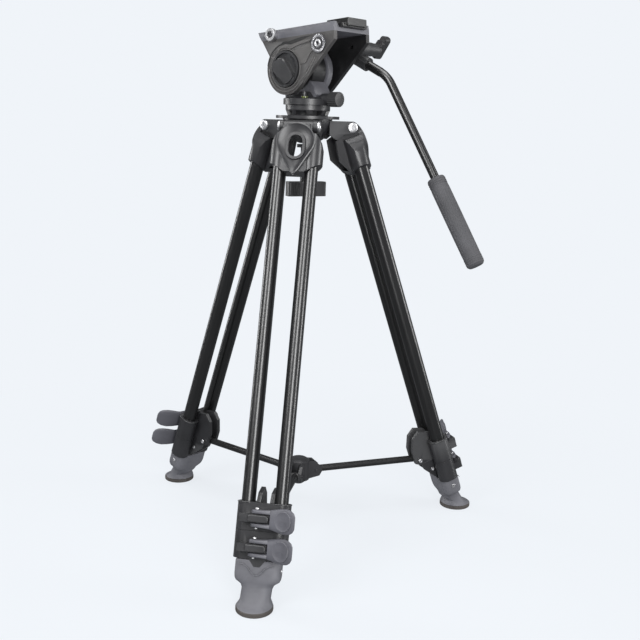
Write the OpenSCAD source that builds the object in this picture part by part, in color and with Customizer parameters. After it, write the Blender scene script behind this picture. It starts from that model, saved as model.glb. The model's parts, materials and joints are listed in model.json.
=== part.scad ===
// Twin-tube tripod with a 60 mm half-ball video head, legs collapsed and spread.
// Millimetres, +Z up, floor at Z = 0, lens side towards -Y, operator's left towards +X.

/* [Legs] */
// Angle between a spread leg and the vertical, degrees
leg_spread = 19.24; // [18.5:0.02:19.8]
// Distance along a leg from its hinge to the sole
leg_len = 631; // [628:1:640]
// Distance of the leg hinges from the pan axis
hinge_r = 58; // [57:0.5:59]
// Distance between the two tubes of a leg
tube_pitch = 43.3; // [43:0.1:44]
// Width of an upper tube
tube_w = 17; // [16.5:0.1:17.2]
// Depth of an upper tube
tube_d = 21.8; // [21.4:0.1:22]
// Wall of every tube
tube_wall = 1.2; // [1:0.1:1.3]
// Radius of the boot's sole
sole_r = 24; // [22:0.5:25]

/* [Spreader] */
// Height of the arm pivots
arm_z = 86; // [84:0.5:88]
// Radius of the hub's pivots
hub_pivot_r = 26; // [25:0.5:27]
// Radius of the pivots on the legs
leg_pivot_r = 198; // [197:0.5:199]
// Diameter of a spreader arm
arm_dia = 10.2; // [9:0.1:10.3]

/* [Bowl] */
// Height of the bowl's upper rim, which is the centre of the half ball
bowl_z = 610; // [609:0.5:612]
// Radius of the half ball
ball_r = 30; // [29.5:0.1:30]
// Radius of the bowl's flange
flange_r = 44.4; // [42:0.2:46]

/* [Head] */
// Nose-down tilt of the platform, degrees
head_tilt = 4.7; // [0:0.1:8]
// Tilt axis ahead of the pan axis
tilt_ahead = 8.5; // [8:0.5:9]
// Height of the tilt axis
tilt_z = 671.7; // [671:0.1:673]
// Half of the head's width over its side plates
head_half = 38; // [37.5:0.5:38.5]
// Length of the platform behind the tilt axis
deck_back = 86; // [84:1:88]
// Length of the platform ahead of the tilt axis
deck_front = 42; // [40:1:44]
// Radius of the side plates around the tilt axis
plate_r = 34.5; // [33:0.5:35]

/* [Pan bar] */
// Diameter of the pan bar
bar_dia = 12; // [11:0.5:13]
// Diameter of the grip
grip_dia = 24.5; // [22:0.5:26]
// Length of the grip
grip_len = 131; // [120:1:140]
// First slope of the bar below the horizontal, degrees
bar_slope_1 = 25; // [22:1:28]
// Slope of the bar after its bend, degrees
bar_slope_2 = 57; // [55:1:59]

/* [Hidden] */
$fn = 64;
SIDES = ["front", "left", "right"];

// Frame
axis_x = 5.8;                            // these two put the middle of the whole outline on the origin
axis_y = 14.2;
hinge_z = leg_len * cos(leg_spread);     // height of the leg hinges
half_pitch = tube_pitch / 2;
tube_in = 2.4;                           // the tubes lie this far inboard of the hinge
joint_gap = 0.3;                         // gap between pieces that move past each other

// Leg stations, measured down the leg from its hinge
socket_top = 13;
socket_end = 66;
shield_tip = 70;
lock_top = 499.5;
lock_split = 535;
lock_end = 570;
upper_strap = 518.5;
lower_strap = 555;
lever_x = -4;                            // hinge pin of a lever
lever_y = -21.2;
boot_end = 597;
middle_w = tube_w - 2 * tube_wall - 2 * joint_gap;
middle_d = tube_d - 2 * tube_wall - 2 * joint_gap;
lower_w = middle_w - 2 * tube_wall - 2 * joint_gap;
lower_d = middle_d - 2 * tube_wall - 2 * joint_gap;
socket_w = 25.3;                         // outside of a casting around one tube
socket_d = 30;

// Hinges of the legs
ear_in = 20.6;
ear_out = 25.6;
ear_r = 8.3;
pin_r = 3;
run_gap = 0.05;                          // radial clearance of a running pin

// Spreader
slot_half = 5.9;                         // half of the slot that an arm's eye moves in
eye_half = 5.2;
eye_r = 6;
arm_pin_r = 2.5;

// Foot centre, as a distance from the pan axis
foot_r = hinge_r + leg_len * sin(leg_spread) + 3.5;
sole_t = 6;

// Head
deck_low = 41;                           // platform's underside above the tilt axis
deck_floor = 46;
deck_top = 53;
wall_t = 7;                              // side plates
rosette_y = 60.2;
rosette_z = 27.2;
cap_r = 24;
shaft_r = 6;
bush_y = -22.3;                          // accessory bush in the left wall
bush_z = 47.2;
bush_seat_r = 5.7;
thread_r = 4.76;                         // 3/8 inch thread

// Pan bar
bar_x = -55;
bar_drop = 16.5;                         // bar below the rosette's centre
bar_straight = 37.4;
bend_r = 46;
bar_run = 277;                           // after the bend, to the end of the grip

// Flat-sided oval across X and Y, with round ends along Y
module oval(w, d) {
    square([w, d - w], center = true);
    for (side = [-1, 1]) translate([0, side * (d - w) / 2]) circle(d = w);
}

// Circle drawn out to a point below it
module teardrop(r, drop) {
    reach = acos(r / drop);
    side = 0.995 * r;
    circle(r = r);
    polygon([[0, -drop], [side * sin(reach), -side * cos(reach)], [0, 0],
             [-side * sin(reach), -side * cos(reach)]]);
}

// Rectangle with round corners
module round_rect(w, d, r) {
    square([w - 2 * r, d], center = true);
    square([w, d - 2 * r], center = true);
    for (x = [-1, 1], y = [-1, 1]) translate([x * (w / 2 - r), y * (d / 2 - r)]) circle(r = r);
}

// Cylinder along X between two places
module rod_x(r, x0, x1) {
    translate([x0, 0, 0]) rotate([0, 90, 0]) cylinder(r = r, h = x1 - x0);
}

// Children drawn in Y and Z, thickened along X
module plate_x(x0, x1) {
    translate([x0, 0, 0]) rotate([90, 0, 90]) linear_extrude(x1 - x0) children();
}

// Children drawn in X and Z, thickened along Y
module plate_y(y0, y1) {
    translate([0, y1, 0]) rotate([90, 0, 0]) linear_extrude(y1 - y0) children();
}

// Children drawn across a leg, stretched between two stations down the leg
module down_leg(s0, s1) {
    translate([0, 0, -s1]) linear_extrude(s1 - s0) children();
}

module on_axis() translate([axis_x, axis_y, 0]) children();

// Leg frame: origin on the hinge, X across the leg, Y inwards, Z up along the leg
module on_leg(i) {
    on_axis() rotate([0, 0, 120 * i]) translate([0, -hinge_r, hinge_z]) rotate([-leg_spread, 0, 0])
        children();
}

// Upright frame over the middle of a foot
module on_foot(i) on_axis() rotate([0, 0, 120 * i]) translate([0, -foot_r, 0]) children();

// Head frame: origin on the tilt axis, tilted with the platform
module on_head() {
    on_axis() translate([0, -tilt_ahead, tilt_z]) rotate([head_tilt, 0, 0]) children();
}

module tube_places() for (side = [-1, 1]) translate([side * half_pitch, tube_in]) children();

module tube_pair(w, d, s0, s1) {
    color("#101012") down_leg(s0, s1) tube_places() difference() {
        oval(w, d);
        oval(w - 2 * tube_wall, d - 2 * tube_wall);
    }
}

// ---- Legs

module shoulder(i) color("#44454b") on_leg(i) difference() {
    union() {
        rod_x(ear_r - 1, -ear_in + 0.4, ear_in - 0.4);
        down_leg(socket_top, socket_end) tube_places() oval(socket_w + 3, socket_d - 3);
        down_leg(0, socket_end) translate([0, -4]) square([34, 18], center = true);
        plate_y(-14, -8) translate([0, -26]) teardrop(26.2, shield_tip - 24);
        plate_x(-ear_in + 0.6, ear_in - 0.6)
            polygon([[-10, -2], [4, -4], [27, -11], [30, -40], [14, -socket_end], [-10, -socket_end]]);
    }
    down_leg(42, socket_end + 1) tube_places() oval(tube_w, tube_d);
    plate_x(-15, 15) polygon([[1.3, -12], [32, -6], [40, -44], [15, -61], [1.3, -56]]);
    plate_y(-20, 50) translate([0, -31]) round_rect(18.7, 29.7, 9.3);
    plate_y(-30, -11) difference() {
        translate([0, -26]) teardrop(23.6, 41);
        translate([0, -31]) round_rect(26, 37, 12.9);
    }
    rod_x(pin_r + run_gap, -40, 40);
    for (side = [-1, 1]) plate_y(-40, 50) {
        polygon([[side * 21.5, -8], [side * 50, -8], [side * 50, -46],
                 [side * 36.8, -37], [side * 31, -19]]);
        polygon([[side * 50, -51], [side * 36.8, -52], [side * 12, -67], [side * 50, -80]]);
    }
}

// Body of a lock: two sockets and the web that joins them
module lock_body(s0, s1, w, d) {
    down_leg(s0, s1) difference() {
        union() {
            tube_places() oval(socket_w, socket_d);
            translate([0, -9]) square([tube_pitch, 7], center = true);
        }
        tube_places() oval(w, d);
    }
}

// Hinge strap of a lever, with its pin
module strap(s) {
    difference() {
        translate([0, 0, -s]) union() {
            translate([-20, -24, -5]) cube([32, 5.4, 10]);
            translate([-26, -24, -5]) cube([10, 14, 10]);
        }
        down_leg(s - 6, s + 6) tube_places() oval(socket_w - 1, socket_d - 1);
    }
    translate([lever_x, lever_y, -s - 12]) cylinder(r = 1.5, h = 24);
}

// Two cheeks with a slot between them for the spreader arm
module fork(outline) {
    for (side = [-1, 1])
        plate_x(side > 0 ? slot_half : -11.5, side > 0 ? 11.5 : -slot_half) polygon(outline);
}

module upper_lock(i) color("#4a4b51") on_leg(i) {
    difference() {
        union() {
            lock_body(lock_top, lock_split - joint_gap, tube_w, tube_d);
            fork([[4, -lock_top], [10, -488], [26, -481], [38, -489], [45, -508], [45, -530],
                  [38, -lock_split + joint_gap], [4, -lock_split + joint_gap]]);
        }
        down_leg(lock_top - 30, lock_split + 1) tube_places() oval(tube_w, tube_d);
    }
    strap(upper_strap);
    for (side = [-1, 1]) translate([0, 36, -528]) rod_x(4, side > 0 ? 11.5 : -13, side > 0 ? 13 : -11.5);
}

module lower_lock(i) color("#4a4b51") on_leg(i) {
    difference() {
        union() {
            lock_body(lock_split, lock_end, middle_w, middle_d);
            fork([[4, -lock_split], [35, -lock_split], [33, -546], [17, -567], [4, -lock_end]]);
            plate_y(-14, -9) translate([0, -lock_end]) polygon([[-14, 4], [14, 4], [4, -9], [-4, -9]]);
        }
        down_leg(lock_split - 1, lock_end + 1) tube_places() oval(middle_w, middle_d);
    }
    strap(lower_strap);
}

// Flip lever: round cam end on the strap's pin, thumb end standing out from the leg
module lever(i, s) color("#74757e") on_leg(i) difference() {
    union() {
        translate([lever_x, lever_y, -s - 11]) cylinder(r = 6, h = 22);
        intersection() {
            down_leg(s - 14.5, s + 14.5)
                polygon([[-4, -27.2], [10, -27.6], [24, -31], [36, -37], [45, -43.5], [47, -39], [44, -33],
                         [36, -27], [24, -21], [10, -16.6], [-4, -15.2]]);
            plate_y(-60, 0) translate([0, -s])
                polygon([[-6, 11], [8, 11], [20, 14.5], [38, 14.5], [47, 9], [47, -9], [38, -14.5],
                         [20, -14.5], [8, -11], [-6, -11]]);
        }
    }
    translate([-16, -30, -s - 5.6]) cube([29.4, 20, 11.2]);
    translate([lever_x, lever_y, -s - 20]) cylinder(r = 1.5 + run_gap, h = 40);
}

module boot(i) color("#7c7d87") difference() {
    union() {
        on_leg(i) down_leg(lock_end + 0.5, boot_end - 5.2) translate([0, 1]) round_rect(59, 30, 12);
        hull() {
            on_leg(i) down_leg(boot_end - 6, boot_end - 5.8)
                translate([0, 1]) round_rect(55, 28, 12, $fn = 32);
            on_leg(i) down_leg(606, 606.2) translate([0, 1]) round_rect(38, 27, 12, $fn = 32);
        }
        hull() {
            on_leg(i) down_leg(605.4, 605.8) translate([0, 1]) round_rect(37.2, 26.4, 12, $fn = 32);
            on_foot(i) translate([0, 5, sole_t + 0.4]) cylinder(r = sole_r - 3.3, h = 4, $fn = 32);
        }
        on_foot(i) translate([0, 0, sole_t]) cylinder(r1 = sole_r - 0.4, r2 = sole_r - 3, h = 5);
    }
    on_leg(i) down_leg(lock_end - 1, boot_end) tube_places() oval(lower_w, lower_d);
    on_leg(i) plate_y(-30, -8.7) translate([0, -lock_end])
        polygon([[-16, 4], [16, 4], [5, -9.6], [-5, -9.6]]);
}

module sole(i) color("#4c4844") on_foot(i) {
    cylinder(r = sole_r, h = sole_t);
}

// ---- Spreader, in the upright frame of one arm: X across it, -Y outwards

module on_arm(i) on_axis() rotate([0, 0, 120 * i]) translate([0, 0, arm_z]) children();

module spreader_arm(i) color("#1b1b1e") on_arm(i) difference() {
    union() {
        translate([0, -hub_pivot_r, 0]) rod_x(eye_r, -eye_half, eye_half);
        translate([0, -leg_pivot_r, 0]) rod_x(eye_r, -eye_half, eye_half);
        translate([0, -hub_pivot_r, 0]) rotate([90, 0, 0])
            cylinder(d = arm_dia, h = leg_pivot_r - hub_pivot_r);
    }
    translate([0, -hub_pivot_r, 0]) rod_x(arm_pin_r + run_gap, -20, 20);
    translate([0, -leg_pivot_r, 0]) rod_x(arm_pin_r + run_gap, -20, 20);
}

module spreader_hub() color("#4f4f55") {
    on_axis() translate([0, 0, arm_z - 13]) cylinder(r = 16, h = 30);
    on_axis() translate([0, 0, arm_z + 17]) cylinder(r1 = 16, r2 = 11, h = 3);
    on_axis() translate([0, 0, arm_z - 19]) cylinder(r1 = 7, r2 = 14, h = 6);
    for (i = [0 : 2]) on_arm(i) {
        difference() {
            for (side = [-1, 1]) plate_x(side > 0 ? slot_half : -10.5, side > 0 ? 10.5 : -slot_half)
                polygon([[-8, 16], [-24, 14], [-33, 6], [-34, -1], [-30, -8], [-8, -12]]);
            translate([0, -hub_pivot_r, 0]) rod_x(arm_pin_r, -12, 12);
        }
        translate([0, -hub_pivot_r, 0]) rod_x(arm_pin_r, -12, 12);
    }
}

// ---- Crown and bowl

module crown() color("#46474d") on_axis() difference() {
    union() {
        translate([0, 0, bowl_z - 4]) cylinder(r = flange_r, h = 4);
        translate([0, 0, bowl_z]) sphere(r = ball_r + 5);
        for (i = [0 : 2]) rotate([0, 0, 120 * i]) {
            for (side = [-1, 1]) {
                translate([0, 0, hinge_z])
                    plate_x(side > 0 ? ear_in : -ear_out, side > 0 ? ear_out : -ear_in)
                    polygon([[-24, -10], [-33, -17], [-37, -17.5], [-46, -10], [-hinge_r, -ear_r],
                             [-hinge_r, ear_r], [-24, ear_r]]);
                translate([0, -hinge_r, hinge_z]) rod_x(ear_r, side > 0 ? ear_in : -ear_out,
                                                        side > 0 ? ear_out : -ear_in);
            }
            translate([-ear_in - 1, -48, hinge_z + ear_r - 2.6]) cube([2 * ear_in + 2, 20, 2.6]);
        }
    }
    translate([0, 0, bowl_z]) sphere(r = ball_r + joint_gap);
    translate([0, 0, bowl_z]) cylinder(r = 60, h = 60);
    translate([0, 0, bowl_z - 60]) cylinder(r = 16, h = 50);
    for (i = [0 : 2]) rotate([0, 0, 120 * i]) translate([0, -hinge_r, hinge_z])
        rod_x(pin_r, -ear_out - 1, ear_out + 1);
}

// Three bolts, each a shank and two flat heads with a hex socket
module hinge_bolts() color("silver") on_axis() for (i = [0 : 2])
    rotate([0, 0, 120 * i]) translate([0, -hinge_r, hinge_z]) difference() {
        union() {
            rod_x(pin_r, -ear_out, ear_out);
            rod_x(7, ear_out, ear_out + 2);
            rod_x(7, -ear_out - 2, -ear_out);
        }
        for (side = [-1, 1]) translate([side * (ear_out + 2), 0, 0]) rotate([0, 90, 0])
            cylinder(r = 2.9, h = 3, center = true, $fn = 6);
    }

module clamp_dish() color("#2c2c30") on_axis() translate([0, 0, bowl_z]) difference() {
    sphere(r = ball_r + 8.8);
    sphere(r = ball_r + 5 + joint_gap);
    translate([0, 0, -22]) cylinder(r = 60, h = 80);
    difference() {
        translate([0, 0, -60]) cylinder(r = 60, h = 80);
        translate([0, 0, -61]) cylinder(r = 23, h = 82);
    }
    translate([0, 0, -60]) cylinder(r = 9.6, h = 60);
}

// Ribbed T-shaped knob on the half ball's stud
module clamp_knob() color("#3c3c41") on_axis() rotate([0, 0, -25]) difference() {
    union() {
        translate([0, 0, 508.7]) linear_extrude(20.4, center = true) round_rect(58, 15, 3);
        for (side = [-1, 1], k = [0 : 6]) translate([0, side * 7.4, 0])
            translate([side * 12 + side * 2.3 * k, 0, 508.7]) cube([1.1, 1.6, 17], center = true);
        translate([0, 0, 516]) cylinder(r = 8.5, h = 54);
        translate([0, 0, 566.5]) cylinder(r = 14, h = 4.5);
    }
    translate([0, 0, 512]) cylinder(r = 4.05, h = 80);
}

module half_ball() color("#4a4b51") on_axis() difference() {
    union() {
        intersection() {
            translate([0, 0, bowl_z]) sphere(r = ball_r);
            translate([0, 0, bowl_z - 27]) cylinder(r = 60, h = 27);
        }
        translate([0, 0, bowl_z]) cylinder(r1 = 28, r2 = 31, h = 8);
        translate([0, 0, bowl_z + 8]) cylinder(r = 31.2, h = 6.5);
        translate([0, 0, bowl_z + 14]) cylinder(r = 10, h = 14);
        translate([0, 0, 520]) cylinder(r = 4, h = 70);
    }
    translate([0, 0, bowl_z + 1]) difference() {
        cylinder(r = 60, h = 6);
        translate([0, 0, -1]) cylinder(r = 20, h = 8);
        for (k = [0 : 7]) rotate([0, 0, 45 * k]) translate([18, -4, -1]) cube([20, 8, 8]);
    }
}

// ---- Head base, which pans

module pan_base() color("#4a4b51") on_axis() difference() {
    union() {
        translate([0, 0, bowl_z + 14.8]) cylinder(r = 34.4, h = 8.2);
        translate([0, 0, bowl_z + 23]) cylinder(r1 = 34, r2 = 27, h = 3.5);
        translate([0, 0, bowl_z + 26.5]) cylinder(r1 = 27, r2 = 23, h = 6);
        translate([0, 28, 632.8]) rotate([-90, 0, 0]) cylinder(r = 8, h = 13);
    }
    translate([0, 0, bowl_z]) cylinder(r = 10.05, h = 19);
    translate([0, 0, bowl_z + 18.9]) cylinder(r = 10.05, h = 9.4);
    translate([0, 33, 632.8]) rotate([-90, 0, 0]) cylinder(r = 3.05, h = 30);
    translate([23, 14, bowl_z + 22]) cylinder(r = 5, h = 20);
}

module bubble_level() color("#c8d86a") on_axis() translate([23, 14, bowl_z + 22]) cylinder(r = 5, h = 4);

module pan_lock_knob() color("#2c2c30") on_axis() translate([0, 0, 632.8]) rotate([-90, 0, 0]) {
    translate([0, 0, 41.4]) linear_extrude(15.6) union() {
        circle(r = 9.4);
        for (k = [0 : 23]) rotate([0, 0, 15 * k]) translate([9.4, 0]) circle(r = 0.7, $fn = 24);
    }
    translate([0, 0, 34]) cylinder(r = 3, h = 8);
}

// Saddle and drum housing between the side plates
module tilt_yoke() color("#17171a") on_axis() difference() {
    union() {
        translate([-13, -tilt_ahead - 20, bowl_z + 32.5]) cube([26, 46, 14]);
        translate([0, -tilt_ahead, tilt_z]) rod_x(29, -13, 13);
    }
    translate([0, 0, bowl_z - 17.5]) cylinder(r = 70, h = 50);
    translate([0, -tilt_ahead, tilt_z]) rod_x(16, -20, 20);
}

// Friction drum and tilt shaft
module tilt_drum() color("#6d6e75") on_axis() translate([0, -tilt_ahead, tilt_z]) {
    rod_x(16, -28, 28);
    rod_x(shaft_r, -head_half + 3.1, head_half - 3.1);
}

// ---- Tilting head

module side_outline() {
    back = 30;                 // height of the rear corner where the long edge starts
    edge_dir = atan2(back, deck_back);
    edge_len = norm([deck_back, back]);
    circle(r = plate_r);
    polygon([[-deck_front, deck_low], [deck_back, deck_low], [deck_back, back],
             [plate_r * cos(edge_dir - acos(plate_r / edge_len)),
              plate_r * sin(edge_dir - acos(plate_r / edge_len))],
             [0, 0], [-28, 17]]);
}

module side_plate() difference() {
    plate_x(head_half - wall_t, head_half) side_outline();
    rod_x(shaft_r + run_gap, 0, 60);
    rod_x(cap_r + 0.4, head_half - 3, head_half + 1);
    translate([0, rosette_y, rosette_z]) rod_x(3, 0, 60);
}

module left_side_plate() color("#4a494c") on_head() side_plate();

module right_side_plate() color("#4a494c") on_head() mirror([1, 0, 0]) side_plate();

// Deck with raised side walls, which lean in, and a channel for the camera plate
module platform() color("#5d5e66") on_head() difference() {
    translate([0, deck_back, 0]) rotate([90, 0, 0]) linear_extrude(deck_back + deck_front + 9) polygon([
        [-head_half, deck_low], [head_half, deck_low], [head_half, 47], [head_half - 1.5, deck_top],
        [head_half - 6, deck_top], [head_half - 12, deck_floor], [-head_half + 12, deck_floor],
        [-head_half + 6, deck_top], [-head_half + 1.5, deck_top], [-head_half, 47]]);
    plate_x(-60, 60) polygon([[-deck_front, deck_low - 1], [-deck_front - 9, deck_top + 1],
                              [-deck_front - 20, deck_top + 1], [-deck_front - 20, deck_low - 1]]);
    translate([0, bush_y, bush_z]) rod_x(bush_seat_r, 30, 60);
    plate_x(-60, -30) polygon([[20.6, 44.2], [33.4, 44.2], [33.4, 49.8], [20.6, 49.8]]);
    translate([0, -12, 46]) rod_x(3.05, -head_half - 1, -27);
    translate([-9, -37, 42]) cube([18, 73, 10]);
}

module tilt_lock_lever() color("#3a3a3f") on_head() {
    difference() {
        rod_x(cap_r, head_half - 2.7, head_half + 3);
        rod_x(cap_r - 3, head_half, head_half + 4);
    }
    intersection() {
        rod_x(cap_r - 3.2, head_half, head_half + 7);
        plate_x(head_half, head_half + 7) union() {
            translate([-7, 2]) circle(r = 11);
            translate([8, -13]) circle(r = 9);
            polygon([[-12, -8], [4, 10], [16, -8], [2, -20]]);
        }
    }
}

module right_cap() color("#2c2c30") on_head() difference() {
    rod_x(cap_r, -head_half - 2, -head_half + 2.7);
    rod_x(cap_r - 4, -head_half - 3, -head_half - 1);
}

// Sliding plate: flush along its length, with a raised block at the rear
module camera_plate() color("#232326") on_head() difference() {
    union() {
        translate([-25.6, -32, deck_floor + joint_gap]) cube([51.2, 124, 5.2]);
        translate([-20, 60, deck_floor + 2]) cube([40, 36, 10]);
    }
    translate([0, 2, 0]) cylinder(r = 3.4, h = 80);
    translate([0, 2, 40]) cylinder(r = 8.2, h = 9.6);
}

module plate_pad() color("#161618") on_head() {
    for (y = [-26, 12]) translate([-17, y, deck_floor + joint_gap + 5.2]) cube([34, 16, 1]);
}

// Captive camera screw, 1/4 inch thread, let down below the face
module camera_screw() color("silver") on_head() translate([0, 2, 0]) {
    translate([0, 0, 42.4]) cylinder(r = 7.8, h = 2);
    translate([0, 0, 44]) cylinder(r = 3.175, h = 7.2);
}

module plate_lock_lever() color("#3a3a3f") on_head() difference() {
    union() {
        translate([0, -12, 46]) rod_x(7, -head_half - 9, -head_half - 0.4);
        plate_x(-head_half - 9, -head_half - 4) translate([-12, 46])
            polygon([[0, -7], [0, 7], [30, 5], [33, 1], [30, -3]]);
        translate([0, -12, 46]) rod_x(3, -head_half - 2, -head_half + 10);
    }
    translate([0, -12, 46]) rod_x(2.4, -head_half - 12, -head_half - 7);
}

module plate_release_button() color("#b8242a") on_head()
    translate([-head_half - 2.4, 21, 44.6]) cube([5.4, 12, 4.8]);

module accessory_bush() color("silver") on_head() translate([0, bush_y, bush_z]) difference() {
    union() {
        rod_x(bush_seat_r, 30, head_half);
        rod_x(8.6, head_half, head_half + 6);
    }
    rod_x(thread_r, 29, 50);
}

// Ring of radial teeth around a threaded insert
module left_rosette() color("#8c8d94") on_head() translate([0, rosette_y, rosette_z]) difference() {
    union() {
        rod_x(12.2, head_half, head_half + 0.8);
        for (k = [0 : 29]) rotate([12 * k, 0, 0])
            translate([head_half, -0.55, 8]) cube([2, 1.1, 4]);
        rod_x(5.4, head_half, head_half + 2.6);
        rod_x(3, head_half - wall_t, head_half);
    }
    rod_x(2.5, 20, 60);
}

// ---- Pan bar

// Frame of the rosette's centre, level
module on_rosette() {
    on_head() translate([0, rosette_y, rosette_z]) rotate([-head_tilt, 0, 0]) children();
}

// Frame at the start of the bar, Z along its first stretch
module on_bar() {
    on_rosette() translate([bar_x, 0, -bar_drop]) rotate([-90 - bar_slope_1, 0, 0]) children();
}

// Frame after the bend, Z along the long stretch
module past_bend() {
    on_bar() translate([0, 0, bar_straight]) translate([0, bend_r, 0])
        rotate([-(bar_slope_2 - bar_slope_1), 0, 0]) translate([0, -bend_r, 0]) children();
}

module bar_clamp() color("#3a3a3f") difference() {
    union() {
        on_rosette() rod_x(12.2, -head_half - 20, -head_half - 0.4);
        on_rosette() rod_x(9.5, -74, -head_half - 20);
        on_bar() translate([0, 0, -11]) cylinder(r = 9.6, h = 24);
    }
    on_rosette() rod_x(3, -90, 0);
    on_bar() translate([0, 0, -8]) cylinder(d = bar_dia + 0.6, h = 60);
}

module pan_bar() color("#0c0c0e") union() {
    on_bar() translate([0, 0, -8]) cylinder(d = bar_dia + 0.6, h = bar_straight + 8);
    on_bar() translate([0, bend_r, bar_straight]) rotate([90, 0, -90])
        rotate_extrude(angle = bar_slope_2 - bar_slope_1) translate([bend_r, 0])
            circle(d = bar_dia - 0.1);
    past_bend() cylinder(d = bar_dia, h = bar_run - 6);
}

module grip() color("#55565e") past_bend() difference() {
    translate([0, 0, bar_run - grip_len]) union() {
        cylinder(d1 = grip_dia - 2, d2 = grip_dia, h = 2);
        translate([0, 0, 2]) cylinder(d = grip_dia, h = grip_len - 5);
        translate([0, 0, grip_len - 3]) cylinder(d1 = grip_dia, d2 = grip_dia - 5, h = 3);
    }
    cylinder(d = bar_dia, h = bar_run - 6);
}

module wing_knob() color("#2c2c30") on_rosette() {
    rod_x(2.95, -82, -70);
    rod_x(9, -88.5, -74.4);
    rotate([-35, 0, 0]) {
        plate_x(-100, -90) translate([0, 5]) round_rect(12, 34, 5);
        plate_x(-91, -86) translate([0, 4]) round_rect(11.4, 24, 5);
    }
}

module for_side(name, i) {
    if (name == "shoulder") shoulder(i);
    if (name == "upper_tubes") tube_pair_on(i, tube_w, tube_d, 42, lock_split - joint_gap);
    if (name == "upper_lock") upper_lock(i);
    if (name == "upper_lever") lever(i, upper_strap);
    if (name == "middle_tubes") tube_pair_on(i, middle_w, middle_d, 60, lock_end);
    if (name == "lower_lock") lower_lock(i);
    if (name == "lower_lever") lever(i, lower_strap);
    if (name == "lower_tubes") tube_pair_on(i, lower_w, lower_d, 75, boot_end);
    if (name == "boot") boot(i);
    if (name == "sole") sole(i);
    if (name == "spreader_arm") spreader_arm(i);
}

module tube_pair_on(i, w, d, s0, s1) on_leg(i) tube_pair(w, d, s0, s1);

for (part = ["shoulder", "upper_tubes", "upper_lock", "upper_lever", "middle_tubes", "lower_lock",
             "lower_lever", "lower_tubes", "boot", "sole", "spreader_arm"])
    for (i = [0 : 2]) for_side(part, i);
crown();
hinge_bolts();
clamp_dish();
clamp_knob();
half_ball();
pan_base();
bubble_level();
pan_lock_knob();
tilt_yoke();
tilt_drum();
left_side_plate();
right_side_plate();
platform();
tilt_lock_lever();
right_cap();
camera_plate();
plate_pad();
camera_screw();
plate_lock_lever();
plate_release_button();
accessory_bush();
left_rosette();
bar_clamp();
pan_bar();
grip();
wing_knob();
spreader_hub();
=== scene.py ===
"""Twin-tube video tripod with a fluid head: looks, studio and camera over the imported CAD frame."""
import json
import math

import bmesh
import bpy
from mathutils import Matrix, Vector


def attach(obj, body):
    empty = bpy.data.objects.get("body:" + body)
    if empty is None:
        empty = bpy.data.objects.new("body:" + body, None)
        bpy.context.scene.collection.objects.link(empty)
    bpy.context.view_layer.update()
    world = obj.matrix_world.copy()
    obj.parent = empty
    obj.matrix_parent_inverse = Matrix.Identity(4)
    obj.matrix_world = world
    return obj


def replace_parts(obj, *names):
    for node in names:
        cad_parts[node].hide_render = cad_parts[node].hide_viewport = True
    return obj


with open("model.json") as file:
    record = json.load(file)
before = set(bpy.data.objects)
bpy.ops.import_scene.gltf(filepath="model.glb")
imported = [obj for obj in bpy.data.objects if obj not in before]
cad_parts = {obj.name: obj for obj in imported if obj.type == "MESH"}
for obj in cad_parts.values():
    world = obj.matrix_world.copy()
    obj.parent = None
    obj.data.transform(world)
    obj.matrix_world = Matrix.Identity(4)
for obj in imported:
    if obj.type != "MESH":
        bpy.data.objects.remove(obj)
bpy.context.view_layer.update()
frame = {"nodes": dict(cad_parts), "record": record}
nodes = frame["nodes"]
SIDES = ("front", "left", "right")

# Places of the CAD frames, in metres
MM = 0.001
AXIS = Vector((5.8, 14.2, 0)) * MM           # pan axis on the floor
HINGE_R, HINGE_Z = 58.0, 595.756             # leg hinges, mm
LEG_SPREAD = math.radians(19.24)
HEAD_TILT = math.radians(4.7)
TILT_AXIS = AXIS + Vector((0, -8.5, 671.7)) * MM
ROSETTE = (60.2, 27.2)                       # centre in the head's Y and Z, mm
TUBE_X, TUBE_Y = 21.65, 2.4                  # centres of a leg's tubes in its frame, mm
FOOT_R = 269.43                              # from the pan axis to the middle of a sole, mm


def leg_frame(i):
    """Origin on the leg's hinge, X across, Y inwards, Z up along the leg, in millimetres."""
    hinge = Matrix.Translation(Vector((0, -HINGE_R, HINGE_Z)) * MM)
    turn = Matrix.Rotation(math.radians(120 * i), 4, "Z")
    lean = Matrix.Rotation(-LEG_SPREAD, 4, "X")
    return Matrix.Translation(AXIS) @ turn @ hinge @ lean @ Matrix.Scale(MM, 4)


def head_frame():
    """Origin on the tilt axis, tilted with the platform, in millimetres."""
    return Matrix.Translation(TILT_AXIS) @ Matrix.Rotation(HEAD_TILT, 4, "X") @ Matrix.Scale(MM, 4)


def bar_frame(past_bend):
    """Z along the first or the long stretch of the pan bar, in millimetres."""
    start = head_frame() @ Matrix.Translation((0, *ROSETTE)) @ Matrix.Rotation(-HEAD_TILT, 4, "X")
    start = start @ Matrix.Translation((-55, 0, -16.5)) @ Matrix.Rotation(math.radians(-115), 4, "X")
    if not past_bend:
        return start
    return (start @ Matrix.Translation((0, 46, 37.4)) @ Matrix.Rotation(math.radians(-32), 4, "X")
            @ Matrix.Translation((0, -46, 0)))


# ---- Materials

PATCHES = 35                                 # colour patches of a surface, cells per metre


def ramp(tree, fac, low, high, start=0.35, end=0.65):
    """Colour between low and high as fac goes from start to end."""
    node = tree.nodes.new("ShaderNodeValToRGB")
    node.color_ramp.elements[0].position = start
    node.color_ramp.elements[1].position = end
    node.color_ramp.elements[0].color = (*low, 1)
    node.color_ramp.elements[1].color = (*high, 1)
    tree.links.new(fac, node.inputs["Fac"])
    return node.outputs["Color"]


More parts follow.
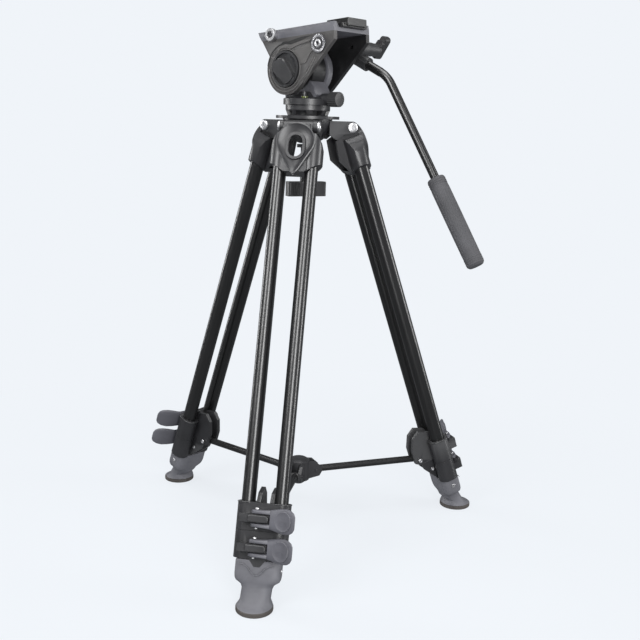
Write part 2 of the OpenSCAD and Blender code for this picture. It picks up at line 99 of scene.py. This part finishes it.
def noise(tree, scale, detail, stretch):
    """Noise in object space, with its scale in cells per metre."""
    place = tree.nodes.new("ShaderNodeTexCoord")
    mapping = tree.nodes.new("ShaderNodeMapping")
    mapping.inputs["Scale"].default_value = stretch
    texture = tree.nodes.new("ShaderNodeTexNoise")
    texture.inputs["Scale"].default_value = scale
    texture.inputs["Detail"].default_value = detail
    tree.links.new(place.outputs["Object"], mapping.inputs["Vector"])
    tree.links.new(mapping.outputs["Vector"], texture.inputs["Vector"])
    return texture.outputs["Fac"]


def finish(name, low, high, rough, grain, bump, metallic=0.0, coat=0.0, stretch=(1, 1, 1), specular=0.5,
           edge=0.0):
    """Moulded or machined surface: patchy colour, uneven roughness, fine grain and worn edges."""
    material = bpy.data.materials.new(name)
    material.use_nodes = True
    tree = material.node_tree
    shader = tree.nodes["Principled BSDF"]
    colour = ramp(tree, noise(tree, PATCHES, 4.0, stretch), low, high)
    if edge:
        shape = tree.nodes.new("ShaderNodeNewGeometry")
        worn = ramp(tree, shape.outputs["Pointiness"], (0, 0, 0), (1, 1, 1), 0.53, 0.60)
        mix = tree.nodes.new("ShaderNodeMix")
        mix.data_type = "RGBA"
        mix.blend_type = "ADD"
        mix.inputs["Factor"].default_value = edge
        tree.links.new(colour, mix.inputs["A"])
        tree.links.new(worn, mix.inputs["B"])
        colour = mix.outputs["Result"]
    tree.links.new(colour, shader.inputs["Base Color"])
    spread = tree.nodes.new("ShaderNodeMapRange")
    spread.inputs["To Min"].default_value = rough[0]
    spread.inputs["To Max"].default_value = rough[1]
    tree.links.new(noise(tree, PATCHES * 3, 3.0, stretch), spread.inputs["Value"])
    tree.links.new(spread.outputs["Result"], shader.inputs["Roughness"])
    grainy = tree.nodes.new("ShaderNodeBump")
    grainy.inputs["Strength"].default_value = bump
    grainy.inputs["Distance"].default_value = 0.0002
    tree.links.new(noise(tree, grain, 2.0, stretch), grainy.inputs["Height"])
    tree.links.new(grainy.outputs["Normal"], shader.inputs["Normal"])
    shader.inputs["Metallic"].default_value = metallic
    shader.inputs["Coat Weight"].default_value = coat
    shader.inputs["Specular IOR Level"].default_value = specular
    return material


def grey(value, blue=1.06):
    """Neutral grey with a slightly raised blue."""
    return (value, value, value * blue)


LOOKS = {
    "black_anodised": finish("tube_black", grey(0.003), grey(0.005), (0.27, 0.33), 1500, 0.0,
                             stretch=(1, 1, 0.1), specular=0.9),
    "casting": finish("casting_grey", grey(0.015, 1.1), grey(0.021, 1.1), (0.30, 0.42), 1400, 0.16, edge=0.03,
                      specular=0.7),
    "deck_grey": finish("deck_grey", grey(0.068, 1.14), grey(0.086, 1.14), (0.34, 0.46), 1800, 0.16,
                        edge=0.04),
    "lever_plastic": finish("lever_grey", grey(0.070, 1.16), grey(0.090, 1.16), (0.42, 0.55), 1300, 0.25,
                            edge=0.04),
    "boot_rubber": finish("boot_grey", grey(0.092, 1.12), grey(0.118, 1.12), (0.50, 0.64), 1200, 0.30,
                          edge=0.03),
    "sole_rubber": finish("sole_rubber", (0.040, 0.035, 0.032), (0.060, 0.053, 0.048), (0.75, 0.88), 700,
                          0.6),
    "steel": finish("turned_steel", grey(0.62, 1.02), grey(0.74, 1.02), (0.36, 0.46), 900, 0.01,
                    metallic=1.0),
    "dark_plastic": finish("dark_plastic", grey(0.018), grey(0.025), (0.28, 0.40), 1500, 0.15, edge=0.03,
                           specular=0.7),
    "grip_rubber": finish("grip_rubber", grey(0.040, 1.1), grey(0.056, 1.1), (0.62, 0.78), 1100, 0.5,
                          edge=0.02),
    "bubble": finish("bubble_vial", (0.07, 0.09, 0.02), (0.11, 0.13, 0.03), (0.05, 0.10), 300, 0.02,
                     coat=0.8),
    "red_plastic": finish("red_plastic", (0.34, 0.010, 0.016), (0.42, 0.014, 0.022), (0.30, 0.42), 900, 0.15),
    # Near-black satin of the yoke; on the right side plate it also paints the shade inside the head.
    "yoke_black": finish("satin_black_and_plate_shade", grey(0.007), grey(0.012), (0.30, 0.42), 1500, 0.15, coat=0.1),
    "pad_rubber": finish("pad_rubber", grey(0.010), grey(0.016), (0.70, 0.82), 900, 0.5),
}
PANEL = finish("panel_grey", (0.050, 0.048, 0.047), (0.066, 0.063, 0.061), (0.44, 0.58), 1900, 0.45,
               edge=0.05)
# Near-black: paints the shade in the groove on the side plate, and colours the fine marks on the tilt lock.
SHADE_AND_MARK_BLACK = finish("painted_groove_shade_and_marks", grey(0.004), grey(0.007), (0.45, 0.60), 900, 0.2)
WARM_DARK = finish("side_plate_grain", (0.030, 0.028, 0.028), (0.042, 0.040, 0.039), (0.40, 0.54), 1700, 0.45,
                   edge=0.04)


# ---- Carried-over CAD nodes

def soften(obj, width, angle=32):
    """Rounds the edges of a CAD node with modifiers; its mesh stays as packed."""
    mesh = obj.data
    if "custom_normal" in mesh.attributes:
        mesh.attributes.remove(mesh.attributes["custom_normal"])
    mesh.shade_smooth()
    weld = obj.modifiers.new("weld", "WELD")
    weld.merge_threshold = 0.00001
    planar = obj.modifiers.new("planar", "DECIMATE")
    planar.decimate_type = "DISSOLVE"
    planar.angle_limit = math.radians(0.6)
    bevel = obj.modifiers.new("bevel", "BEVEL")
    bevel.width = width * MM
    bevel.segments = 3
    bevel.limit_method = "ANGLE"
    bevel.angle_limit = math.radians(angle)
    bevel.miter_outer = "MITER_ARC"
    bevel.harden_normals = True


BEVELS = {"shoulder": 1.4, "upper_lock": 1.0, "lower_lock": 1.0, "upper_lever": 2.2, "lower_lever": 2.2,
          "boot": 1.2, "sole": 1.4, "crown": 0.8, "left_side_plate": 1.2, "right_side_plate": 1.2,
          "platform": 0.9, "spreader_hub": 1.2, "clamp_knob": 0.3, "half_ball": 0.4, "pan_base": 0.8,
          "wing_knob": 0.5, "bar_clamp": 1.0, "camera_plate": 0.8, "left_rosette": 0.15,
          "hinge_bolts": 0.4, "upper_tubes": 0.2, "middle_tubes": 0.2, "lower_tubes": 0.2}
# The right side plate takes the near-black satin look as painted shade of its shadowed inside; the left plate
# keeps its grained dark grey.
OWN_LOOKS = {"left_side_plate": WARM_DARK, "right_side_plate": LOOKS["yoke_black"]}
SLOTS = {entry["node"]: entry["material_slot"] for entry in frame["record"]["subparts"]}
for name, obj in nodes.items():
    family = name
    for side in SIDES:
        family = family.removesuffix("_" + side)
    look = OWN_LOOKS.get(family, LOOKS[SLOTS[name]])
    obj.data.materials.clear()
    obj.data.materials.append(look)
    soften(obj, BEVELS.get(family, 0.5))


# ---- Mesh building, in the millimetres of a frame

def build(name, shape, where, body, look, bevel=0.0):
    """Makes one piece from (points, faces) in the frame `where` and lets it ride on a body."""
    points, faces = shape
    mesh = bpy.data.meshes.new(name)
    mesh.from_pydata([where @ Vector(point) for point in points], [], faces)
    work = bmesh.new()
    work.from_mesh(mesh)
    bmesh.ops.remove_doubles(work, verts=work.verts, dist=0.000005)
    bmesh.ops.recalc_face_normals(work, faces=work.faces)
    work.to_mesh(mesh)
    work.free()
    mesh.shade_smooth()
    mesh.set_sharp_from_angle(angle=math.radians(40))
    mesh.materials.append(look)
    obj = bpy.data.objects.new(name, mesh)
    bpy.context.scene.collection.objects.link(obj)
    if bevel:
        edge = obj.modifiers.new("bevel", "BEVEL")
        edge.width = bevel * MM
        edge.segments = 3
        edge.limit_method = "ANGLE"
        edge.angle_limit = math.radians(40)
        edge.harden_normals = True
    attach(obj, body)
    return obj


def merged(*shapes):
    """Several (points, faces) as one."""
    points, faces = [], []
    for more_points, more_faces in shapes:
        start = len(points)
        points += more_points
        faces += [[start + corner for corner in face] for face in more_faces]
    return points, faces


def loft(rings, capped=True, closed=False):
    """Skin over rings that have the same number of points."""
    count = len(rings[0])
    points = [point for ring in rings for point in ring]
    faces = []
    last = len(rings) if closed else len(rings) - 1
    for r in range(last):
        low, high = r * count, (r + 1) % len(rings) * count
        for k in range(count):
            after = (k + 1) % count
            faces.append([low + k, low + after, high + after, high + k])
    if capped and not closed:
        faces.append(list(range(count)))
        faces.append([(len(rings) - 1) * count + k for k in range(count)])
    return points, faces


def sweep(path, radius, closed=False, sides=10):
    """Round bead along a path of points; its ends taper off."""
    path = [Vector(point) for point in path]
    rings = []
    for k, point in enumerate(path):
        before = path[k - 1] if k or closed else path[0]
        after = path[(k + 1) % len(path)] if k + 1 < len(path) or closed else path[-1]
        along = (after - before).normalized()
        across = along.orthogonal() if not rings else (side - along * side.dot(along))
        side = across.normalized()
        other = along.cross(side)
        end = not closed and k in (0, len(path) - 1)
        size = radius * (0.3 if end else 1.0)
        rings.append([tuple(point + size * (math.cos(a) * side + math.sin(a) * other))
                      for a in (2 * math.pi * s / sides for s in range(sides))])
    return loft(rings, closed=closed)


def prism(outline, low, high, place):
    """Flat shape between two levels; place(u, v, level) gives a point."""
    return loft([[place(u, v, level) for u, v in outline] for level in (low, high)])


def rounded(w, d, power=4.0, count=48):
    """Squarish oval, w across and d deep, as (u, v) pairs."""
    pairs = []
    for k in range(count):
        c, s = math.cos(2 * math.pi * k / count), math.sin(2 * math.pi * k / count)
        pairs.append((w / 2 * math.copysign(abs(c) ** (2 / power), c),
                      d / 2 * math.copysign(abs(s) ** (2 / power), s)))
    return pairs


def teardrop(r, drop, count=64):
    """Circle drawn out to a rounded point at v = -drop, as (u, v) pairs."""
    pairs = []
    for k in range(count):
        turn = 2 * math.pi * k / count
        c, s = math.cos(turn), math.sin(turn)
        low = max(0.0, -s)
        narrowed = 1 - 0.34 * low ** 2
        pairs.append((r * c * narrowed, r * s if s >= 0 else -(r + (drop - r) * low ** 3) * low))
    return pairs


def arc(radius, start, stop, count=24, centre=(0, 0)):
    """Points on a circle from start to stop degrees."""
    return [(centre[0] + radius * math.cos(math.radians(start + (stop - start) * k / count)),
             centre[1] + radius * math.sin(math.radians(start + (stop - start) * k / count)))
            for k in range(count + 1)]


def mix_pairs(a, b, t):
    """Outline a share t of the way from outline a to outline b."""
    return [((1 - t) * p[0] + t * q[0], (1 - t) * p[1] + t * q[1]) for p, q in zip(a, b)]


# ---- Legs

def shoulder_dish(i, side):
    """Conical dish between the shield's rim and the hole, with a fine bright lip on each."""
    centre = -26
    rim = teardrop(25.6, 42.5)
    hole = [(u, v - 5) for u, v in rounded(19.2, 30.2, 2.2, 64)]
    # Share of the way from the rim to the hole, and the level there; the first two rings are a flange
    steps = [(0.0, -13.6), (0.0, -15.4), (0.04, -15.9), (0.09, -15.4), (0.15, -14.8), (0.5, -13.0),
             (0.8, -11.8), (0.95, -11.4), (0.985, -11.2), (1.0, -10.7), (1.0, -7.0)]
    flange_rings, flange_scale = 2, 1.03
    rings = []
    for k, (share, y) in enumerate(steps):
        scale = flange_scale if k < flange_rings else 1.0
        rings.append([(u * scale, y, centre + v * scale) for u, v in mix_pairs(rim, hole, share)])
    build(f"shoulder_dish_{side}", loft(rings, capped=False), leg_frame(i), f"leg_{side}",
          LOOKS["casting"])


def socket_lips(i, side):
    """Rolled lips where the tubes enter the upper lock."""
    beads = []
    for x in (-TUBE_X, TUBE_X):
        path = [(x + u, TUBE_Y + v, -500) for u, v in rounded(25.0, 29.6, 2.6, 40)]
        beads.append(sweep(path, 0.9, closed=True))
    build(f"upper_lock_lips_{side}", merged(*beads), leg_frame(i), f"leg_{side}",
          LOOKS["casting"])


def turns(count):
    """Angles of a full circle, in radians."""
    return [2 * math.pi * k / count for k in range(count)]


def oval(w, d):
    """Flat-sided oval with round ends along v, as (u, v) pairs."""
    ends = arc(w / 2, 0, 180, 28, (0, (d - w) / 2))
    ends = [(w / 2, (w - d) / 2 * (1 - 2 * t)) for t in (0.04, 0.5, 0.96)] + ends
    return ends + [(-u, -v) for u, v in ends]


def tubes(i, side, stage, body, size, ends):
    """Pair of drawn tubes with turned-in edges at both ends."""
    top, bottom = ends
    wall, edge, turned_in = 1.2, 0.3, 4
    profile = [(wall, top + turned_in), (wall, top), (edge, top), (0, top + edge), (0, bottom - edge),
               (edge, bottom), (wall, bottom), (wall, bottom - turned_in)]
    pair = []
    for x in (-TUBE_X, TUBE_X):
        rings = []
        for inset, s in profile:
            outline = oval(size[0] - 2 * inset, size[1] - 2 * inset)
            rings.append([(x + u, TUBE_Y + v, -s) for u, v in outline])
        pair.append(loft(rings, capped=False))
    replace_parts(build(f"{stage}_pair_{side}", merged(*pair), leg_frame(i), body,
                      LOOKS["black_anodised"]), f"{stage}_tubes_{side}")


def boot(i, side):
    """Shoe that closes the lower tubes: square block, waist, and a flared round foot."""
    foot = (Matrix.Translation(AXIS) @ Matrix.Rotation(math.radians(120 * i), 4, "Z")
            @ Matrix.Translation(Vector((0, -FOOT_R, 0)) * MM) @ Matrix.Scale(MM, 4))
    leg = leg_frame(i)
    back = leg.inverted() @ foot
    # Distance down the leg, width, depth and squareness of the block and the waist
    stations = [(570.6, 55, 27, 5), (571.2, 58, 29.2, 5), (573, 59, 30, 5), (589, 59, 30, 5),
                (594, 58, 29.7, 4.6), (597.4, 55, 29, 4), (599.6, 48, 27.8, 3.6), (602, 42, 27, 3),
                (606, 39, 27, 2.6)]
    rings = [[(u, 1 + v, -s) for u, v in rounded(w, d, power)] for s, w, d, power in stations]
    # Width, depth, shift, height over the floor and squareness of the foot
    low = [(39.0, 27.6, 4.6, 13.4, 2.5), (41.5, 34.6, 4.0, 9.6, 2.3), (44.4, 41.6, 2.4, 7.4, 2.1),
           (46.4, 46.0, 0.6, 6.35, 2.0), (45.6, 45.6, 0.0, 6.05, 2.0)]
    for w, d, shift, height, power in low:
        rings.append([tuple(back @ Vector((u, shift + v, height))) for u, v in rounded(w, d, power)])
    body = build(f"boot_body_{side}", loft(rings), leg, f"foot_{side}", LOOKS["boot_rubber"])
    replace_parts(body, f"boot_{side}")
    half = [(2.5, 12.6), (6, 10), (11, 4), (17, 0.4), (24, 0)]
    chevron = [(-u, v) for u, v in reversed(half)] + half
    ridge = [(u, -15.4 - 0.5 * math.cos(u / 16), -576 - v) for u, v in chevron]
    build(f"boot_seam_{side}", sweep(ridge, 0.7), leg, f"foot_{side}", LOOKS["boot_rubber"])
    screws = []
    for sign in (-1, 1):
        rings = [[(sign * (29.2 + out), 1 + r * math.cos(a), -583 + r * math.sin(a)) for a in turns(24)]
                 for out, r in ((0, 3.0), (0.7, 3.0), (1.0, 2.6), (0.9, 1.4), (0.4, 1.2))]
        screws.append(loft(rings))
    build(f"boot_screws_{side}", merged(*screws), leg, f"foot_{side}", LOOKS["steel"])


def lever(i, side, level, s):
    """Flip lever: two cheeks that grow into a thumb paddle with an oval dish, and the strap on its lock."""
    leg, body = leg_frame(i), f"{level}_lever_{side}"
    course = [(-10.6, -21.2, 5.0), (-8, -21.2, 10.2), (-4, -21.2, 11.8), (4, -21.8, 11.4), (12, -22.4, 10.8),
              (20, -24.6, 10.6), (28, -28.2, 10.2), (36, -32.2, 9.4), (42, -36.0, 8.2), (46, -38.8, 6.2),
              (48.4, -40.6, 3.0)]

    def section(x, y, thick, low, high):
        middle, half = (low + high) / 2, (high - low) / 2
        return [(x - 0.45 * v, y + v, -s + middle + u) for u, v in rounded(2 * half, thick, 3.2, 32)]

    cheeks = []
    for sign in (-1, 1):
        rings = [section(x, y, thick, *sorted((sign * 5.7, sign * top))) for (x, y, thick), top in
                 zip(course[:5], (10.4, 11.0, 11.2, 11.3, 11.8))]
        cheeks.append(loft(rings))
    tops = (11.8, 13.4, 14.9, 15.6, 14.6, 12.0, 8.0)
    thumb = loft([section(x, y, thick, -top, top) for (x, y, thick), top in zip(course[4:], tops)])
    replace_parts(build(f"{level}_lever_body_{side}", merged(*cheeks, thumb), leg, body,
                      LOOKS["lever_plastic"], bevel=0.5), f"{level}_lever_{side}")
    along, away = Vector((0.886, -0.463, 0)), Vector((-0.463, -0.886, 0))
    centre = Vector((32.2, -35.0, -s))
    dish = [(1.0, -0.9), (1.0, 0.25), (0.96, 0.6), (0.90, 0.35), (0.7, -0.2), (0.4, -0.45), (0.05, -0.5)]
    rings = []
    for share, out in dish:
        rings.append([tuple(centre + along * (12.6 * share * math.cos(a))
                            + Vector((0, 0, 12.4 * share * math.sin(a)))
                            + away * (out + 0.6 * math.cos(a) ** 2 - 0.5)) for a in turns(48)])
    build(f"{level}_lever_dish_{side}", loft(rings), leg, body, LOOKS["lever_plastic"])
    outline = [(-14, -4.6), *arc(4.6, -90, 90, 16, (7.8, 0)), (-14, 4.6)]
    tongue = prism(outline, -29.4, -24.4, lambda u, v, depth: (u, depth, v - s))
    # The strap stays on its lock when the lever opens
    holder = {"upper": "leg_", "lower": "middle_"}[level] + side
    build(f"{level}_lever_tongue_{side}", tongue, leg, holder, LOOKS["casting"], bevel=1.4)


def head_of_screw(centre, normal, radius):
    """Domed steel head with a hex socket; centre is on the seat."""
    normal = Vector(normal).normalized()
    side = normal.orthogonal().normalized()
    other = normal.cross(side)
    # Share of the radius, height over the seat, and whether the ring is the hex of the socket
    profile = [(1.0, -0.3, False), (1.0, 0.7, False), (0.9, 1.1, False), (0.52, 1.3, True), (0.46, 0.5, True)]
    rings = []
    for size, out, hexagonal in profile:
        ring = []
        for k in range(24):
            a = 2 * math.pi * (round(k / 4) * 4 if hexagonal else k) / 24
            spoke = math.cos(a) * side + math.sin(a) * other
            ring.append(tuple(Vector(centre) + normal * out + radius * size * spoke))
        rings.append(ring)
    return loft(rings)


def fasteners(i, side):
    """Bright heads on the lever pins, on the forks and on the hinge bolts."""
    leg = leg_frame(i)
    upper, lower = [], []
    for sign in (-1, 1):
        upper += [head_of_screw((sign * 13, 36, -527.6), (sign, 0, 0), 3.6),
                  head_of_screw((-4, -21.2, -518.5 + sign * 12), (0, 0, sign), 2.2)]
        lower += [head_of_screw((sign * 11.5, 20, -550), (sign, 0, 0), 3.0),
                  head_of_screw((-4, -21.2, -555 + sign * 12), (0, 0, sign), 2.2)]
    build(f"upper_screws_{side}", merged(*upper), leg, f"leg_{side}", LOOKS["steel"])
    build(f"lower_screws_{side}", merged(*lower), leg, f"middle_{side}", LOOKS["steel"])
    bolts = [head_of_screw((sign * 27.6, 0, 0), (sign, 0, 0), 6.6) for sign in (-1, 1)]
    build(f"hinge_bolt_heads_{side}", merged(*bolts), leg, "crown", LOOKS["steel"])


for index, leg_side in enumerate(SIDES):
    fasteners(index, leg_side)
    shoulder_dish(index, leg_side)
    socket_lips(index, leg_side)
    tubes(index, leg_side, "upper", f"leg_{leg_side}", (17, 21.8), (42, 534.7))
    tubes(index, leg_side, "middle", f"middle_{leg_side}", (14, 18.8), (60, 570))
    tubes(index, leg_side, "lower", f"foot_{leg_side}", (11, 15.8), (75, 597))
    boot(index, leg_side)
    lever(index, leg_side, "upper", 518.5)
    lever(index, leg_side, "lower", 555)


# ---- Head

FACE = 38.0                                  # outside of the left side plate, mm


def on_face(u, v, level):
    """Point on the left side plate, u rearwards and v up, level out from its face."""
    return (FACE + level, u, v)


def left_face():
    """Sculpted relief of the left side plate around its round recess, with a thin near-black strip that
    paints the shade of the groove along the crest.
    """
    head = head_frame()
    panel = [*arc(25.6, 58, 8, 12), (36, 4), (46.5, 17.2), *arc(13.6, 218, 172, 8, ROSETTE), (30, 25.6)]
    build("side_panel", prism(panel, -0.4, 1.1, on_face), head, "head", PANEL, bevel=0.5)
    crest = [*arc(27.2, 118, 66, 14), (24, 28.6), (45.6, 31.6), (47.6, 34.6), (30, 33.8),
             *arc(31.6, 74, 112, 10)]
    build("side_crest", prism(crest, -0.4, 1.3, on_face), head, "head", PANEL, bevel=0.5)
    # Thin flat strip in near-black: painted shade where the groove runs outside the crest.
    groove = [*arc(32.6, 170, 70, 24), (34, 35.8), (50, 39.0), (30, 38.8), *arc(36.0, 80, 96, 6),
              *arc(34.6, 100, 168, 16)]
    build("side_groove_painted_shade", prism(groove, -0.4, 0.25, on_face), head, "head", SHADE_AND_MARK_BLACK)
    ring = [on_face(*point, 0.2) for point in arc(25.9, 0, 354, 60)]
    build("recess_ring", sweep(ring, 0.9, closed=True), head, "head", PANEL)
    outer = [on_face(*point, 0.1) for point in [*arc(30.2, 175, 318, 40), (40, -6.4), (53, 11.6)]]
    build("lower_crest", sweep(outer, 1.0), head, "head", PANEL)
    beads = []
    for shift in (0, 1, 2):
        start, stop = (50.4 + 3.2 * shift, 11.6 - 0.6 * shift), (25.4 + 2.6 * shift, -17.2 - 2.2 * shift)
        path = []
        for t in [k / 12 for k in range(13)]:
            sag = 2.2 * math.sin(math.pi * t)
            path.append(on_face(start[0] + (stop[0] - start[0]) * t,
                                start[1] + (stop[1] - start[1]) * t - sag, 0.2))
        beads.append(sweep(path, 0.65))
    build("diagonal_ribs", merged(*beads), head, "head", PANEL)


def tilt_lock():
    """Round thumb lever in the recess: a raised lobe with three ridges, and fine marks beside it."""
    head = head_frame()
    outline = [*arc(9.5, 40, 215, 20, (-7, 6)), *arc(15, 215, 250, 6, (2, -2)),
               *arc(8.2, 230, 395, 20, (8.5, -11.5))]
    rings = []
    for inset, level in ((1.0, 0.4), (1.0, 3.4), (0.93, 4.9), (0.78, 6.0), (0.5, 6.7), (0.15, 6.9)):
        rings.append([on_face(0.5 + (u - 0.5) * inset, -2.5 + (v + 2.5) * inset, level) for u, v in outline])
    build("tilt_lock_lobe", loft(rings), head, "tilt_lock_lever", LOOKS["dark_plastic"])
    beads = []
    for shift in (0, 1, 2):
        path = [on_face(3.6 + 10.4 * t, -10.4 - 2.7 * shift + 1.6 * math.sin(math.pi * t), 6.0) for t in
                [k / 10 for k in range(11)]]
        beads.append(sweep(path, 0.75))
    build("tilt_lock_ridges", merged(*beads), head, "tilt_lock_lever", PANEL)
    fins = []
    for k in range(14):
        turn = math.radians(-60 + 9 * k)
        path = [on_face(r * math.cos(turn), r * math.sin(turn), 0.5) for r in (16.5, 18, 20)]
        fins.append(sweep(path, 0.35, sides=6))
    build("tilt_lock_marks", merged(*fins), head, "tilt_lock_lever", SHADE_AND_MARK_BLACK)


def on_rosette(r, a, level):
    """Point at radius r and angle a round the middle of the left rosette, level out from the side plate."""
    return on_face(ROSETTE[0] + r * math.cos(a), ROSETTE[1] + r * math.sin(a), level)


def rosette_insert():
    """Bright threaded insert with a rolled lip, inside a ring of bright teeth on a dark seat."""
    profile = [(2.55, -1.0), (2.55, 2.9), (2.9, 3.2), (4.6, 3.2), (5.2, 2.7), (5.2, 0.5)]
    rings = [[on_rosette(r, a, level) for a in turns(36)] for r, level in profile]
    build("rosette_insert", loft(rings, capped=False), head_frame(), "head", LOOKS["steel"])
    beads = [sweep([on_rosette(r, a, 1.9) for r in (8.4, 9, 11.2, 11.8)], 0.42, sides=6) for a in turns(30)]
    build("rosette_teeth", merged(*beads), head_frame(), "head", LOOKS["steel"])
    profile = [(5.2, 1.0), (5.2, 1.95), (8.0, 1.95), (12.4, 1.95), (12.6, 1.0)]
    seat = [[on_rosette(r, a, level) for a in turns(48)] for r, level in profile]
    build("rosette_seat", loft(seat, capped=False), head_frame(), "head", LOOKS["casting"])


def saddle():
    """Curved saddle that carries the drum housing on the pan base, and the bright band round the housing."""
    base = Matrix.Translation(TILT_AXIS) @ Matrix.Scale(MM, 4)
    rings = []
    for x, size in ((-15.4, 0.92), (-14.6, 0.98), (-12, 1.0), (12, 1.0), (14.6, 0.98), (15.4, 0.92)):
        outline = [*arc(30.0 * size, -150, -30, 24), (34 * size, -24), (36.5, -33), (32, -38.6), (-20, -38.6)]
        rings.append([(x, u, v) for u, v in outline])
    build("saddle", loft(rings), base, "base", LOOKS["deck_grey"], bevel=0.8)
    profile = [(-24, 28), (-24, 31.4), (-23, 32.6), (-15, 32.6), (-14, 31.4), (-13.2, 28)]
    cheek = [[(x, radius * math.cos(a), radius * math.sin(a)) for a in turns(60)] for x, radius in profile]
    build("housing_cheek", loft(cheek), base, "base", LOOKS["deck_grey"])


left_face()
tilt_lock()
rosette_insert()
saddle()


# ---- Pan bar

def grip_rings():
    """Rolled bands near both ends of the rubber grip, and fine flutes along it."""
    where = bar_frame(True)
    start, length, radius = 146.0, 131.0, 12.25
    beads = []
    for z in (4, 7, 10, length - 12, length - 9, length - 6):
        path = [(radius * math.cos(a), radius * math.sin(a), start + z) for a in turns(40)]
        beads.append(sweep(path, 0.45, closed=True, sides=8))
    flutes = []
    for a in turns(18):
        path = [(radius * math.cos(a), radius * math.sin(a), start + z) for z in (14, 18, 60, length - 18)]
        flutes.append(sweep(path, 0.3, sides=6))
    build("grip_bands", merged(*beads, *flutes), where, "bar", LOOKS["grip_rubber"])


grip_rings()


# ---- Studio

def studio():
    """Pale floor that fades into the backdrop, and a world that is pale to the camera and dim as a light."""
    pale = (0.871, 0.905, 0.947, 1)
    world = bpy.data.worlds.new("studio")
    bpy.context.scene.world = world
    world.use_nodes = True
    tree = world.node_tree
    tree.nodes["Background"].inputs["Color"].default_value = pale
    dim = tree.nodes.new("ShaderNodeBackground")
    dim.inputs["Color"].default_value = pale
    dim.inputs["Strength"].default_value = 0.20
    path = tree.nodes.new("ShaderNodeLightPath")
    mix = tree.nodes.new("ShaderNodeMixShader")
    tree.links.new(path.outputs["Is Camera Ray"], mix.inputs["Fac"])
    tree.links.new(dim.outputs["Background"], mix.inputs[1])
    tree.links.new(tree.nodes["Background"].outputs["Background"], mix.inputs[2])
    tree.links.new(mix.outputs["Shader"], tree.nodes["World Output"].inputs["Surface"])

    bpy.ops.mesh.primitive_circle_add(vertices=96, radius=30, fill_type="NGON", location=(0, 0, -0.0002))
    floor = bpy.context.object
    floor.name = "floor"
    floor.visible_glossy = False
    paint = bpy.data.materials.new("floor_paint")
    paint.use_nodes = True
    tree = paint.node_tree
    shader = tree.nodes["Principled BSDF"]
    shader.inputs["Roughness"].default_value = 0.9
    shader.inputs["Base Color"].default_value = (0.62, 0.65, 0.68, 1)
    glow = tree.nodes.new("ShaderNodeEmission")
    glow.inputs["Color"].default_value = pale
    place = tree.nodes.new("ShaderNodeTexCoord")
    length = tree.nodes.new("ShaderNodeVectorMath")
    length.operation = "LENGTH"
    fade = tree.nodes.new("ShaderNodeMapRange")
    fade.inputs["From Min"].default_value = 0.1
    fade.inputs["From Max"].default_value = 0.9
    fade.inputs["To Min"].default_value = 0.84
    fade.interpolation_type = "SMOOTHSTEP"
    mix = tree.nodes.new("ShaderNodeMixShader")
    tree.links.new(place.outputs["Object"], length.inputs[0])
    tree.links.new(length.outputs["Value"], fade.inputs["Value"])
    tree.links.new(fade.outputs["Result"], mix.inputs["Fac"])
    tree.links.new(shader.outputs["BSDF"], mix.inputs[1])
    tree.links.new(glow.outputs["Emission"], mix.inputs[2])
    tree.links.new(mix.outputs["Shader"], tree.nodes["Material Output"].inputs["Surface"])
    floor.data.materials.append(paint)


def softbox(name, place, aim, size, watts):
    """Rectangular area lamp at place, turned towards aim."""
    data = bpy.data.lights.new(name, "AREA")
    data.shape = "RECTANGLE"
    data.size, data.size_y = size
    data.energy = watts
    lamp = bpy.data.objects.new(name, data)
    lamp.location = place
    lamp.visible_camera = False
    lamp.rotation_euler = (Vector(aim) - Vector(place)).to_track_quat("-Z", "Y").to_euler()
    bpy.context.scene.collection.objects.link(lamp)


def camera():
    """Camera a little above the middle of the tripod, seen from behind its left side."""
    pitch, yaw, roll, around = 0.2068, 0.01883, 0.02941, math.radians(130.966)
    forward = Vector((math.sin(yaw) * math.cos(pitch), math.cos(yaw) * math.cos(pitch), -math.sin(pitch)))
    right = Vector((math.cos(yaw), -math.sin(yaw), 0))
    up = right.cross(forward)
    right, up = (math.cos(roll) * right + math.sin(roll) * up, math.cos(roll) * up - math.sin(roll) * right)
    basis = Matrix((right, up, -forward)).transposed()
    data = bpy.data.cameras.new("camera")
    data.lens, data.sensor_width = 53.5, 36
    cam = bpy.data.objects.new("camera", data)
    turn = Matrix.Rotation(around, 3, "Z")
    cam.matrix_world = Matrix.Translation(AXIS + Vector((1.0283, 0.8928, 0.6044))) @ (turn @ basis).to_4x4()
    bpy.context.scene.collection.objects.link(cam)
    bpy.context.scene.camera = cam


studio()
softbox("front", (1.05, 1.50, 0.85), (0, 0, 0.38), (0.55, 1.9), 34)
softbox("key", (2.3, -0.1, 1.9), (0, 0, 0.5), (1.0, 1.4), 44)
softbox("rim_left", (0.6, -2.2, 1.1), (0, 0, 0.35), (0.5, 2.2), 30)
softbox("rim_right", (-1.4, 1.9, 1.0), (0, 0, 0.35), (0.5, 2.2), 34)
softbox("top", (0.2, 0.2, 2.6), (0, 0, 0.5), (1.4, 1.4), 30)
camera()
bpy.context.scene.view_settings.view_transform = "Standard"
